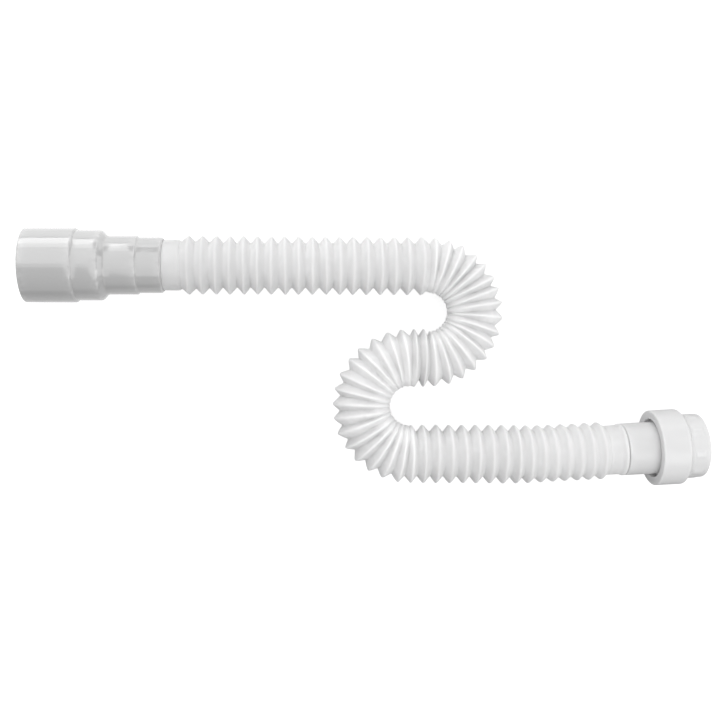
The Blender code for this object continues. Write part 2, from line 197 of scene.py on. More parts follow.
# An empty node group with its sockets, and the nodes by which it is entered and left
def newGroup(name, inputs, outputs):
    group = bpy.data.node_groups.new(name, "ShaderNodeTree")
    for kind, label, value in inputs:
        socket = group.interface.new_socket(label, in_out="INPUT", socket_type="NodeSocket" + kind)
        socket.default_value = value
    for kind, label in outputs:
        group.interface.new_socket(label, in_out="OUTPUT", socket_type="NodeSocket" + kind)
    return group, group.nodes.new("NodeGroupInput"), group.nodes.new("NodeGroupOutput")


# A node with its settings, and its inputs set to values or linked from other sockets
def addNode(tree, kind, inputs=None, **settings):
    made = tree.nodes.new(kind)
    for key, value in settings.items():
        setattr(made, key, value)
    for key, value in (inputs or {}).items():
        if isinstance(value, bpy.types.NodeSocket):
            tree.links.new(value, made.inputs[key])
        else:
            made.inputs[key].default_value = value
    return made


# One Math node: a and b joined by the operation
def calculate(tree, operation, a, b=0.0, clamp=False):
    node = addNode(tree, "ShaderNodeMath", {0: a, 1: b}, operation=operation, use_clamp=clamp)
    return node.outputs[0]


# From colour a to colour b by the factor
def blendColour(tree, factor, a, b):
    return addNode(tree, "ShaderNodeMix", {0: factor, 6: a, 7: b}, data_type="RGBA").outputs[2]


# Texture scales are in waves per metre, and heights are those of the bumps at full strength.
moulding = {
    "waveScale": 75.0,
    "waveDetail": 2.0,
    "waveHeight": 0.7 * mm,
    "grainScale": 2400.0,
    "grainDetail": 3.0,
    "grainHeight": 0.08 * mm,
    "cloudScale": 30.0,
    "cloudDetail": 5.0,
}


# Moulded skin: a slow waviness and a fine grain as a normal, and a cloudy colour, which is the
# given colour times 1 + mottle (cloud - 1/2)
def mouldedSkin():
    group, entry, leave = newGroup(
        "moulded skin",
        [
            ("Color", "Colour", (0.8, 0.8, 0.8, 1)),
            ("Float", "Grain", 0.1),
            ("Float", "Wave", 0.1),
            ("Float", "Mottle", 0.05),
            ("Vector", "Normal", (0, 0, 1)),
        ],
        [("Color", "Colour"), ("Vector", "Normal"), ("Float", "Roughness shift")],
    )
    place = addNode(group, "ShaderNodeTexCoord").outputs["Object"]

    def noise(kind):
        scale, detail = moulding[kind + "Scale"], moulding[kind + "Detail"]
        settings = {"Vector": place, "Scale": scale, "Detail": detail}
        return addNode(group, "ShaderNodeTexNoise", settings)

    slow, fine, cloud = noise("wave"), noise("grain"), noise("cloud")
    wave = addNode(
        group,
        "ShaderNodeBump",
        {
            "Strength": entry.outputs["Wave"],
            "Distance": moulding["waveHeight"],
            "Height": slow.outputs["Fac"],
            "Normal": entry.outputs["Normal"],
        },
    )
    grain = addNode(
        group,
        "ShaderNodeBump",
        {
            "Strength": entry.outputs["Grain"],
            "Distance": moulding["grainHeight"],
            "Height": fine.outputs["Fac"],
            "Normal": wave.outputs["Normal"],
        },
    )
    centred = calculate(group, "SUBTRACT", cloud.outputs["Fac"], 0.5)
    amount = calculate(group, "MULTIPLY", centred, entry.outputs["Mottle"])
    level = calculate(group, "ADD", amount, 1.0)
    given = entry.outputs["Colour"]
    colour = addNode(group, "ShaderNodeVectorMath", {0: given, "Scale": level}, operation="SCALE")
    group.links.new(colour.outputs[0], leave.inputs["Colour"])
    group.links.new(grain.outputs["Normal"], leave.inputs["Normal"])
    group.links.new(amount, leave.inputs["Roughness shift"])
    return group


handling = {
    "patchScale": 210.0,
    "patchDetail": 4.0,
    "patchRange": (0.35, 0.65),  # noise below the first leaves no polish, above the second all
    "leastDust": 0.5,  # share of the dust that lies between the patches too
    "polishedColour": (0.93, 0.93, 0.93, 1),
    "dustColour": (0.40, 0.39, 0.375, 1),
    "dustRougher": 0.3,
    "polishSmoother": 0.15,
}


# Handled edges: outside edges a little polished and paler, inside corners holding a little dust.
# Polish follows the edge mask above 0 and dust the mask below 0, each times patches of noise and
# the wanted amount.
def handledEdges():
    group, entry, leave = newGroup(
        "handled edges",
        [
            ("Color", "Colour", (0.8, 0.8, 0.8, 1)),
            ("Float", "Edge", 0.0),
            ("Float", "Polish", 0.3),
            ("Float", "Dust", 0.3),
        ],
        [("Color", "Colour"), ("Float", "Roughness shift")],
    )
    place = addNode(group, "ShaderNodeTexCoord").outputs["Object"]
    patchy = addNode(
        group,
        "ShaderNodeTexNoise",
        {"Vector": place, "Scale": handling["patchScale"], "Detail": handling["patchDetail"]},
    )
    low, high = handling["patchRange"]
    spread = {"Value": patchy.outputs["Fac"], "From Min": low, "From Max": high}
    patch = addNode(group, "ShaderNodeMapRange", spread).outputs[0]
    outside = calculate(group, "MULTIPLY", entry.outputs["Edge"], 1.0, clamp=True)
    polished = calculate(group, "MULTIPLY", outside, patch)
    polished = calculate(group, "MULTIPLY", polished, entry.outputs["Polish"])
    inside = calculate(group, "MULTIPLY", entry.outputs["Edge"], -1.0, clamp=True)
    gathered = calculate(group, "MULTIPLY", patch, 1 - handling["leastDust"])
    gathered = calculate(group, "ADD", gathered, handling["leastDust"])
    dusty = calculate(group, "MULTIPLY", inside, gathered)
    dusty = calculate(group, "MULTIPLY", dusty, entry.outputs["Dust"])
    paler = blendColour(group, polished, entry.outputs["Colour"], handling["polishedColour"])
    dusted = blendColour(group, dusty, paler, handling["dustColour"])
    rougher = calculate(group, "MULTIPLY", dusty, handling["dustRougher"])
    smoother = calculate(group, "MULTIPLY", polished, handling["polishSmoother"])
    shift = calculate(group, "SUBTRACT", rougher, smoother)
    group.links.new(dusted, leave.inputs["Colour"])
    group.links.new(shift, leave.inputs["Roughness shift"])
    return group


skinGroup = mouldedSkin()
edgeGroup = handledEdges()


# What a look has unless it says otherwise
plainLook = {
    "folded": False,
    "specular": 0.5,
    "coat": 0.0,
    "coatRoughness": 0.10,
    "coatIndex": 1.6,
    "glow": 0.0,  # share of the light that spreads in the wall
    "glowDepth": 1.0 * mm,  # how far it spreads
}


# A plastic: moulded skin, then handled edges read from the piece's own edge attribute. A folded one
# also reads how far its normals are evened out, the pipe's own normal, and its painted shading: a
# factor on the colour that paints light into shaded roots and bends, and paints shade onto crests,
# cuffs and the first pleats.
def plastic(name, look):
    look = {**plainLook, **look}
    material = bpy.data.materials.new(name)
    material.use_nodes = True
    tree = material.node_tree
    shader = tree.nodes["Principled BSDF"]
    skin = tree.nodes.new("ShaderNodeGroup")
    skin.node_tree = skinGroup
    skin.inputs["Colour"].default_value = (*look["colour"], 1)
    skin.inputs["Grain"].default_value = look["grain"]
    skin.inputs["Wave"].default_value = look["wave"]
    skin.inputs["Mottle"].default_value = look["mottle"]
    # Light that spreads in the wall evens out small folds: their normals lean towards the pipe's.
    normal = addNode(tree, "ShaderNodeNewGeometry").outputs["Normal"]
    if look["folded"]:
        evenness = addNode(tree, "ShaderNodeAttribute", attribute_name="evenness").outputs["Fac"]
        pipe = addNode(tree, "ShaderNodeAttribute", attribute_name="pipe").outputs["Vector"]
        pipe = addNode(
            tree,
            "ShaderNodeVectorTransform",
            {0: pipe},
            vector_type="NORMAL",
            convert_from="OBJECT",
            convert_to="WORLD",
        ).outputs[0]
        pair = {0: evenness, 4: normal, 5: pipe}
        leant = addNode(tree, "ShaderNodeMix", pair, data_type="VECTOR")
        unit = addNode(tree, "ShaderNodeVectorMath", {0: leant.outputs[1]}, operation="NORMALIZE")
        normal = unit.outputs[0]
    tree.links.new(normal, skin.inputs["Normal"])
    edges = tree.nodes.new("ShaderNodeGroup")
    edges.node_tree = edgeGroup
    edge = addNode(tree, "ShaderNodeAttribute", attribute_name="edge")
    tree.links.new(skin.outputs["Colour"], edges.inputs["Colour"])
    tree.links.new(edge.outputs["Fac"], edges.inputs["Edge"])
    edges.inputs["Polish"].default_value = look["polish"]
    edges.inputs["Dust"].default_value = look["dust"]
    rough = calculate(tree, "ADD", skin.outputs["Roughness shift"], look["roughness"])
    rough = calculate(tree, "ADD", rough, edges.outputs["Roughness shift"])
    colour = edges.outputs["Colour"]
    if look["folded"]:
        # Painted light and shade: the colour is scaled by the painted shading, lighter in shaded
        # roots and bends, darker on crests, cuffs and the first pleats.
        paintedShading = addNode(tree, "ShaderNodeAttribute", attribute_name="paintedShading").outputs["Fac"]
        paintedShadingNode = addNode(tree, "ShaderNodeVectorMath", {0: colour, "Scale": paintedShading}, operation="SCALE")
        colour = paintedShadingNode.outputs[0]
    tree.links.new(colour, shader.inputs["Base Color"])
    tree.links.new(skin.outputs["Normal"], shader.inputs["Normal"])
    tree.links.new(rough, shader.inputs["Roughness"])
    shader.inputs["Coat Weight"].default_value = look["coat"]
    shader.inputs["Coat Roughness"].default_value = look["coatRoughness"]
    shader.inputs["Coat IOR"].default_value = look["coatIndex"]
    shader.inputs["Specular IOR Level"].default_value = look["specular"]
    shader.inputs["Subsurface Weight"].default_value = look["glow"]
    shader.inputs["Subsurface Radius"].default_value = (1.0, 1.0, 1.0)
    shader.inputs["Subsurface Scale"].default_value = look["glowDepth"]
    return material


# Corrugated hose
hose = {
    "columns": 96,
    "wall": 1.2 * mm,
    "crest": 20.0 * mm,
    "root": 15.2 * mm,
    "firstRoot": 16.25 * mm,  # the pleats start shallow at the outlet end
    "shallowFirst": 4,
    "lastCrest": 19.4 * mm,  # and end shallow at the inlet end
    "lastRoot": 16.5 * mm,
    "shallowLast": 8,
    "outletCuff": (17.15 * mm, 28.7 * mm),  # radius and length
    "inSocket": 16.2 * mm,
    "inletCuff": (16.7 * mm, 12.0 * mm),
    "cuffSlope": 1.5 * mm,
    "lipLength": 1.6 * mm,
    # Rows along the cuffs, and how far each stands out from the cuff's radius. Plain rows are
    # lengths from the hose's start. Slope rows count cuff slopes from the first or last pleat, and
    # lip rows count lip lengths from the hose's end.
    "outletPlainRows": np.array([0, 0.4, 8, 16, 22]) * mm,
    "outletSlopeRows": np.array([1.8, 1.1, 0.5]),
    "outletStandsOut": np.array([-0.4, 0, 0, 0, 0, 0, -0.1, -0.55]) * mm,
    "inletSlopeRows": np.array([0, 0.5, 1, 2]),
    "inletLipRows": np.array([3.0, 2.1, 1.6, 1.2, 0.9, 0.5, 0.15, 0.0]),
    "inletStandsOut": np.array([-0.2, -0.05, 0, 0, 0, 0.03, 0.35, 0.75, 0.9, 0.9, 0.72, 0.2]) * mm,
    "pressedShare": 0.85,
    "crestRound": 0.20,  # share of each slope that the crest's rounding takes
    "rootRound": 0.12,
    "risingRows": np.array([0, 0.06, 0.14, 0.5, 0.76, 0.9]),  # where rows lie from root to crest
    "fallingRows": np.array([0, 0.1, 0.24, 0.5, 0.86, 0.94]),  # and from crest to root
    # How unevenly the pleats stand: seed, tilt, nod as a share of it, and reach and crest shift (in
    # pitches), with the shares of both that the straight runs have
    "seed": 7,
    "tiltStraight": math.radians(0.5),
    "tiltBend": math.radians(1.6),
    "nodShare": 0.5,
    "untilted": 20 * mm,  # the tilt grows over this length at both ends
    "uneven": 0.35 * mm,
    "unevenRoots": 0.5,
    "unevenStraight": 0.3,
    "crestShift": 0.07,
    "shiftStraight": 0.25,
    "edgePower": 4,  # how closely the edge mask keeps to crests and roots
    "evenStraight": 0.91,  # how far light in the wall evens out the pleats, from 0 to 1
    "evenBend": 0.80,
    "sideShare": 0.35,
    "sideGrowth": 90.0 * mm,
    # Painted light and shade, as factors on the colour: bends and roots lighter to undo the shade
    # in their folds, crests darker, and the first pleats and both cuffs darker to match the shade
    # in the pleats
    "bendPaintedLight": 1.11,
    "rootPaintedLight": 1.14,
    "crestPaintedShade": 0.90,
    "outletPaintedShade": 0.90,  # the first pleats, growing to 1 where the sides have evened out
    "outletCuffPaintedShade": 0.86,
    "inletCuffPaintedShade": 0.95,
    "look": {
        "colour": (0.768, 0.768, 0.770),
        "roughness": 0.50,
        "specular": 0.35,
        "folded": True,
        "grain": 0.12,
        "wave": 0.12,
        "mottle": 0.04,
        "polish": 0.05,
        "dust": 0.05,
        "glow": 1.0,
        "glowDepth": 2.5 * mm,
    },
}

# Each stretch: length, turn to the left, pleats, how far its pleats run on past its end, and root
# and crest radius inside its bend. A straight run is its pleats times their pitch.
straight = (0.0, 0.0)
runOn = 4.6 * mm
stretches = [
    (hose["outletCuff"][1], 0, 0, 0, straight),
    (18 * 9.34 * mm, 0, 18, 0, straight),
    (math.pi * 31.6 * mm, -math.pi, 16, 0, (17.6 * mm, 18.3 * mm)),
    (2 * 6.2 * mm, 0, 2, 0, straight),
    (math.pi * 33.0 * mm, math.pi, 16, runOn, (19.0 * mm, 19.7 * mm)),
    (runOn + 7 * 9.0 * mm, 0, 7, 0, straight),
    (3 * 8.05 * mm, math.radians(3.2), 3, 0, straight),
    (5 * 8.05 * mm, 0, 5, 0, straight),
    (hose["inletCuff"][1], 0, 0, 0, straight),
]
lengths, turns, pleatCounts, runsOn, insides = (np.array(column) for column in zip(*stretches))
starts = np.concatenate([[0.0], np.cumsum(lengths)])
pleatsStart, pleatsEnd, hoseEnd = starts[1], starts[-2], starts[-1]
sagEnd, riseStart = starts[2], starts[5]  # the ends of the long run and of the second bend


# The axis at each length along the hose: straights and arcs. A point s along an arc is reached by
# a chord of length s sin(h)/h at the heading turned by h, where h is half the turn made so far. The
# height goes smoothly from the adaptor's axis down to where the crests lie on the floor, and after
# the second bend up to the nut's axis.
def hoseAxis(along):
    heading = np.concatenate([[0.0], np.cumsum(turns)[:-1]])
    chord = lengths * np.sinc(turns / 2 / math.pi)
    startX = np.concatenate([[0.0], np.cumsum(chord * np.cos(heading + turns / 2))])
    startY = np.concatenate([[0.0], np.cumsum(chord * np.sin(heading + turns / 2))])
    which = np.clip(np.searchsorted(starts, along, side="right") - 1, 0, len(lengths) - 1)
    step = along - starts[which]
    half = (turns / lengths)[which] * step / 2
    reach = step * np.sinc(half / math.pi)
    x = adaptorHigh[0] - hose["inSocket"] + startX[which] + reach * np.cos(heading[which] + half)
    y = outletAxisY + startY[which] + reach * np.sin(heading[which] + half)
    sag = smoothStep((along - pleatsStart) / (sagEnd - pleatsStart))
    rise = smoothStep((along - riseStart) / (pleatsEnd - riseStart))
    z = outletAxisZ + (hose["crest"] - outletAxisZ) * sag + (nutMouth[2] - hose["crest"]) * rise
    return x, y, z, heading[which] + 2 * half


# The rings that shape the pleats, root and crest by turns: where each is, how far it reaches in
# each column, how it leans, and whether it is in a bend. From the middle of a bend to pressedShare
# of the way inwards, the reach goes over smoothly to the pressed-in ripple.
def pleatRings(angle):
    random = np.random.default_rng(hose["seed"])
    total = pleatCounts.sum()
    number = np.arange(total)
    stretch = np.repeat(np.arange(len(lengths)), pleatCounts)
    pitch = (lengths + runsOn - np.roll(runsOn, 1))[stretch] / pleatCounts[stretch]
    start = pleatsStart + np.cumsum(pitch) - pitch
    early = smoothStep(1 - number / hose["shallowFirst"])
    late = smoothStep((number - (total - hose["shallowLast"]) + 1) / (hose["shallowLast"] / 2))
    root = hose["root"] + (hose["firstRoot"] - hose["root"]) * early
    root = root + (hose["lastRoot"] - root) * late
    crest = hose["crest"] + (hose["lastCrest"] - hose["crest"]) * late
    bent = (turns[stretch] != 0) & (insides[stretch, 0] > 0)

    uneven = random.uniform(0, 1, (2, total)) * hose["uneven"]
    root = root + hose["unevenRoots"] * uneven[0] * np.where(bent, 1, hose["unevenStraight"])
    crest = crest - uneven[1] * np.where(bent, 1, hose["unevenStraight"])
    shift = random.uniform(-hose["crestShift"], hose["crestShift"], total) * pitch
    shift = shift * np.where(bent, 1, hose["shiftStraight"])

    along = np.append(np.stack([start, start + pitch / 2 + shift], axis=1).reshape(-1), pleatsEnd)
    reach = np.append(np.stack([root, crest], axis=1).reshape(-1), hose["lastRoot"])[:, None]
    inside = np.append(insides[stretch].reshape(-1), 0.0)[:, None]
    side = np.append(np.repeat(np.where(bent, np.sign(turns[stretch]), 0), 2), 0)[:, None]
    pressed = smoothStep(side * np.sin(angle) / hose["pressedShare"])
    reach = reach + (inside - reach) * pressed
    lean = random.normal(0, 1, (2, len(along)))
    lean = lean * np.append(np.repeat(np.where(bent, hose["tiltBend"], hose["tiltStraight"]), 2), 0)
    lean = lean * smoothStep((along - pleatsStart) / hose["untilted"])
    lean = lean * smoothStep((pleatsEnd - along) / hose["untilted"])
    return along, reach, lean, np.append(np.repeat(bent, 2), False).astype(float)


# Where a slope's share of its rise is 0 at the root and 1 at the crest: straight between, and a
# parabola over the rounding at either end, scaled so that it still starts at 0 and ends at 1.
def slopeShare(t):
    a, b = hose["rootRound"], hose["crestRound"]
    share = np.where(t < a, (t * t + a * a) / (2 * a), t)
    share = np.where(t > 1 - b, 1 - ((1 - t) ** 2 + b * b) / (2 * b), share)
    return (share - a / 2) / (1 - a / 2 - b / 2)


# Rows go along the outer wall and back along the inner one. Between two rings the reach goes from
# one to the next by the slope's share, and a leaning ring moves a point along the axis by
# reach (sin a sin tilt + cos a sin nod). The inner wall has only the cuffs' and the rings' rows.
def buildHose(material):
    columns = hose["columns"]
    angle = 2 * math.pi * np.arange(columns)[None, :] / columns
    ringAlong, ringReach, ringLean, ringBent = pleatRings(angle)
    segments = len(ringAlong) - 1
    fromRoot = np.arange(segments) % 2 == 0
    t = np.where(fromRoot[:, None], hose["risingRows"], hose["fallingRows"])
    crestness = np.where(fromRoot[:, None], slopeShare(t), slopeShare(1 - t))
    ringToRing = np.where(fromRoot[:, None], crestness, 1 - crestness)
    along = ringAlong[:-1, None] + np.diff(ringAlong)[:, None] * t
    reach = ringReach[:-1, None] + np.diff(ringReach, axis=0)[:, None] * ringToRing[..., None]
    innerPick = np.zeros(t.shape, bool)
    innerPick[:, 0] = True
    along, reach, crestness, innerPick = (
        along.reshape(-1),
        reach.reshape(-1, columns),
        crestness.reshape(-1),
        innerPick.reshape(-1),
    )

    slope, lip = hose["cuffSlope"], hose["lipLength"]
    cuffIn = np.append(hose["outletPlainRows"], pleatsStart - hose["outletSlopeRows"] * slope)
    cuffInReach = hose["outletCuff"][0] + hose["outletStandsOut"]
    lipRows = hoseEnd - hose["inletLipRows"] * lip
    cuffOut = np.append(pleatsEnd + hose["inletSlopeRows"] * slope, lipRows)
    cuffOutReach = hose["inletCuff"][0] + hose["inletStandsOut"]

    def widened(values):
        return np.repeat(values[:, None], columns, axis=1)

    outerAlong = np.concatenate([cuffIn, along, cuffOut])
    outerReach = np.concatenate([widened(cuffInReach), reach, widened(cuffOutReach)])
    inner = np.concatenate([np.ones(len(cuffIn), bool), innerPick, np.ones(len(cuffOut), bool)])
    innerAlong = outerAlong[inner][::-1]
    innerReach = outerReach[inner][::-1] - hose["wall"]
    widest = hose["inletCuff"][0] - hose["wall"]
    inCuff = (innerAlong > pleatsEnd)[:, None]
    innerReach = np.where(inCuff, np.minimum(innerReach, widest), innerReach)

    rowAlong = np.concatenate([outerAlong, innerAlong])
    rowReach = np.concatenate([outerReach, innerReach])
    tilt = np.interp(rowAlong, ringAlong, ringLean[0])[:, None]
    nod = np.interp(rowAlong, ringAlong, ringLean[1])[:, None] * hose["nodShare"]
    x, y, z, heading = (values[:, None] for values in hoseAxis(rowAlong))
    across, up = rowReach * np.sin(angle), rowReach * np.cos(angle)
    forward = across * np.sin(tilt) + up * np.sin(nod)
    points = np.stack(
        [
            x + np.cos(heading) * forward - np.sin(heading) * across,
            y + np.sin(heading) * forward + np.cos(heading) * across,
            z + up,
        ],
        axis=-1,
    )
    piece = gridPiece("corrugated_hose_surface", points, material, sharpAngle=180)
    # Crests count as outside edges and roots as inside corners.
    plain = np.zeros(len(cuffOut) + len(innerAlong))
    edge = np.concatenate([np.zeros(len(cuffIn)), 2 * crestness - 1, plain])
    setAttribute(piece, "edge", np.repeat(np.sign(edge) * edge ** hose["edgePower"], columns))
    # Light in the wall evens the pleats out most on top and underneath, less so towards the sides.
    # The painted shading goes from the roots' painted light to the crests' painted shade by the
    # crestness, following the evenness, and over to the bends' painted light, which undoes the
    # shade in their folds. The first pleats get painted shade that fades out along the hose.
    folded = np.interp(along, ringAlong, ringBent)[:, None]
    grown = smoothStep((along - pleatsStart) / hose["sideGrowth"])[:, None]
    sides = hose["sideShare"] * grown
    level = sides + (1 - sides) * np.cos(angle) ** 2
    even = (hose["evenStraight"] + (hose["evenBend"] - hose["evenStraight"]) * folded) * level
    paintedShading = (hose["rootPaintedLight"] + (hose["crestPaintedShade"] - hose["rootPaintedLight"]) * crestness)[:, None]
    paintedShading = 1 + (paintedShading - 1) * (1 - folded) * level + (hose["bendPaintedLight"] - 1) * folded
    paintedShading = paintedShading * (hose["outletPaintedShade"] + (1 - hose["outletPaintedShade"]) * grown)

    # The pleats' values with one value for each of the cuffs and one for the inner wall
    def withEnds(outletCuff, pleats, inletCuff, inner):
        ends = ((cuffIn, outletCuff), (cuffOut, inletCuff), (innerAlong, inner))
        first, last, back = (np.full((len(rows), columns), value) for rows, value in ends)
        return np.concatenate([first, pleats, last, back])

    setAttribute(piece, "evenness", withEnds(0.0, even, 0.0, 0.0))
    # Painted shade on both cuffs, which are darker than the pleats to match the shade in the
    # pleats' folds; the inner wall gets none.
    setAttribute(piece, "paintedShading", withEnds(hose["outletCuffPaintedShade"], paintedShading, hose["inletCuffPaintedShade"], 1.0))

    # The plain pipe's normal, (-sin h sin a, cos h sin a, cos a), turned round on the inner wall
    facing = np.where(np.arange(len(rowAlong)) < len(outerAlong), 1.0, -1.0)[:, None]
    pipe = np.stack(
        [
            -np.sin(heading) * np.sin(angle) * facing,
            np.cos(heading) * np.sin(angle) * facing,
            np.cos(angle) * facing,
        ],
        axis=-1,
    )
    attribute = piece.data.attributes.new("pipe", "FLOAT_VECTOR", "POINT")
    attribute.data.foreach_set("vector", pipe.reshape(-1).astype(np.float32))
    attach(piece, "root")
    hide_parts("corrugated_hose")


buildHose(plastic("hose plastic", hose["look"]))
print("hose ready")


# Outlet adaptor
adaptor = {
    "columns": 160,
    "wall": 2.5 * mm,
    "rimBand": (25.35 * mm, 35.6 * mm),  # radius and length
    "secondBand": (24.0 * mm, 17.0 * mm),
    "cone": 3.5 * mm,
    "thirdBand": (20.0 * mm, 20.5 * mm),
    "step": 1.0 * mm,
    "sleeve": (19.0 * mm, 16.5 * mm),
    "stepBevel": 1.0 * mm,
    "socket": 17.45 * mm,
    "ledge": (15.6 * mm, 2.0 * mm),
    "longestRow": 4 * mm,
    "fillets": {
        "rim": 0.8 * mm,
        "rimInside": 0.5 * mm,
        "band": 0.5 * mm,
        "bevel": 0.4 * mm,
        "crease": 0.3 * mm,
        "cone": 1.4 * mm,
        "step": 0.6 * mm,
        "socket": 0.2 * mm,
        "boreCone": 1.0 * mm,
        "boreStep": 0.8 * mm,
    },
    "look": {
        "colour": (0.420, 0.420, 0.421),
        "roughness": 0.12,
        "coat": 1.0,
        "grain": 0.03,
        "wave": 0.05,
        "mottle": 0.03,
        "polish": 0.3,
        "dust": 0.2,
    },
}


# A turned tube: three bands that step down to the sleeve outside, and the bores that follow them
# one wall further in
def buildAdaptor(material):
    bands = ("rimBand", "secondBand", "thirdBand", "sleeve")
    rim, second, third, sleeve = (adaptor[band][0] for band in bands)
    atSecond = adaptor["rimBand"][1]
    atCone = atSecond + adaptor["secondBand"][1]
    atThird = atCone + adaptor["cone"]
    atStep = atThird + adaptor["thirdBand"][1]
    atSleeve = atStep + adaptor["step"]
    end = atSleeve + adaptor["sleeve"][1]
    wall, socket, bevel = adaptor["wall"], adaptor["socket"], adaptor["stepBevel"]
    ledge, ledgeLength = adaptor["ledge"]
    fillet = adaptor["fillets"]
    corners = [
        (0, rim, fillet["rim"]),
        (atSecond - bevel, rim, fillet["band"]),
        (atSecond, rim - bevel, fillet["bevel"]),
        (atSecond, second, fillet["crease"]),
        (atCone, second, fillet["cone"]),
        (atThird, third, fillet["cone"]),
        (atStep, third, fillet["step"]),
        (atSleeve, sleeve, fillet["band"]),
        (end - bevel, sleeve, fillet["band"]),
        (end, sleeve - bevel, fillet["bevel"]),
        (end, socket, fillet["crease"]),
        (atSleeve, socket, fillet["socket"]),
        (atSleeve, ledge, fillet["crease"]),
        (atSleeve - ledgeLength, ledge, fillet["bevel"]),
        (atSleeve - 2 * ledgeLength, third - wall, fillet["step"]),
        (atThird - wall / 2, third - wall, fillet["boreCone"]),
        (atCone - wall / 2, second - wall, fillet["boreCone"]),
        (atSecond - wall, second - wall, fillet["boreStep"]),
        (atSecond - 2 * wall, rim - wall, fillet["boreStep"]),
        (0, rim - wall, fillet["rimInside"]),
    ]
    origin = np.array([adaptorLow[0], outletAxisY, outletAxisZ])
    eastward = np.array([1.0, 0.0, 0.0])
    columns, longest = adaptor["columns"], adaptor["longestRow"]
    piece = turnedPiece("outlet_adaptor", corners, columns, longest, origin, eastward, material)
    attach(piece, "root")
    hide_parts("outlet_adaptor")


buildAdaptor(plastic("adaptor plastic", adaptor["look"]))
print("adaptor ready")


# Inlet spigot
spigot = {
    "columns": 128,
    "shown": 19.5 * mm,
    "gap": 0.3 * mm,
    "radius": 17.6 * mm,
    "tail": (15.2 * mm, 11.0 * mm),  # radius and length
    "barbs": 3,
    "barbDepth": 0.7 * mm,
    "barbRise": 0.8,  # share of each barb's length over which it rises
    "bore": 13.5 * mm,
    "flange": (20.6 * mm, 3.0 * mm),
    "nutShoulder": 3.5 * mm,
    "longestRow": 3 * mm,
    "fillets": {
        "barbTop": 0.15 * mm,
        "barbFoot": 0.1 * mm,
        "tail": 0.2 * mm,
        "shoulder": 1.5 * mm,
        "neckFoot": 0.3 * mm,
        "flangeRear": 0.5 * mm,
        "flangeFace": 0.4 * mm,
    },
    "look": {
        "colour": (0.675, 0.675, 0.677),
        "roughness": 0.32,
        "grain": 0.06,
        "wave": 0.08,
        "mottle": 0.03,
        "polish": 0.2,
        "dust": 0.2,
        "glow": 0.5,
        "glowDepth": 3.0 * mm,
    },
}


# A turned tube: barbed tail, shoulder, plain neck and flange, round one plain bore
def buildSpigot(material):
    gap, radius, bore = spigot["gap"], spigot["radius"], spigot["bore"]
    tail, tailLength = spigot["tail"]
    flange, flangeLength = spigot["flange"]
    valley = tail - spigot["barbDepth"]
    barb = np.arange(spigot["barbs"]) + spigot["barbRise"]
    barbTop = -tailLength + barb * tailLength / spigot["barbs"]
    atFlange = gap + spigot["shown"] + spigot["nutShoulder"] + gap
    end = atFlange + flangeLength
    fillet = spigot["fillets"]
    corners = [(-tailLength, bore, fillet["tail"]), (-tailLength, valley, fillet["tail"])]
    for top in barbTop:
        corners += [(top, tail, fillet["barbTop"]), (top, valley, fillet["barbFoot"])]
    corners += [
        (gap, valley, fillet["tail"]),
        (gap, radius, fillet["shoulder"]),
        (atFlange, radius, fillet["neckFoot"]),
        (atFlange, flange, fillet["flangeRear"]),
        (end, flange, fillet["flangeFace"]),
        (end, bore, fillet["flangeFace"]),
    ]
    origin = nutMouth - nutAxis * (gap + spigot["shown"])
    columns, longest = spigot["columns"], spigot["longestRow"]
    piece = turnedPiece("inlet_spigot", corners, columns, longest, origin, nutAxis, material)
    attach(piece, "root")
    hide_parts("inlet_spigot")


buildSpigot(plastic("spigot plastic", spigot["look"]))
print("spigot ready")


# Coupling nut
nut = {
    "columns": 216,
    "mouth": 19.75 * mm,
    "shoulder": 3.5 * mm,
    "ring": (25.47 * mm, 18.0 * mm),  # radius and length
    "cone": 2.2 * mm,
    "skirt": (21.5 * mm, 12.6 * mm),
    "cavity": 21.5 * mm,
    "threadStart": 12.0 * mm,
    "thread": (16.62 * mm, 15.2 * mm, 2.309 * mm),  # outer and inner radius, pitch
    "leadIn": 1.2 * mm,
    "ridgeTop": 1.3,  # the ridge is this at its middle before it is cut to 0 to 1
    "ridgeFall": 2.34,  # and falls by this to the middle of the groove
    "threadClear": 0.6 * mm,  # from the bore's end to the thread's, which then fades in
    "fadeIn": 1.5 * mm,
    "fadeOut": 1.2 * mm,
    "rowsPerTurn": 8,
    "grips": 9,
    "gripHeight": 0.45 * mm,
    "gripStart": 1.4 * mm,
    "gripLength": 8.0 * mm,
    "gripWidth": 6.0 * mm,
    "gripRamp": 1.6 * mm,
    "gripCrown": 1.35,  # 1 is a ridge; more makes its top level and its sides stand further out
    "gripTurn": math.radians(30),
    "near": (0.05 * mm, 0.02 * mm),  # a point this near the skirt's or the bore's radius is on it
    "fillets": {
        "mouth": 0.5 * mm,
        "ringRear": 1.2 * mm,
        "ringFront": 0.9 * mm,
        "skirtFoot": 1.2 * mm,
        "rim": 1.6 * mm,
        "inside": 0.3 * mm,
        "bore": 0.2 * mm,
    },
    "look": {
        "colour": (0.695, 0.695, 0.697),
        "roughness": 0.30,
        "grain": 0.08,
        "wave": 0.10,
        "mottle": 0.04,
        "polish": 0.2,
        "dust": 0.2,
        "glow": 0.5,
        "glowDepth": 2.5 * mm,
    },
}


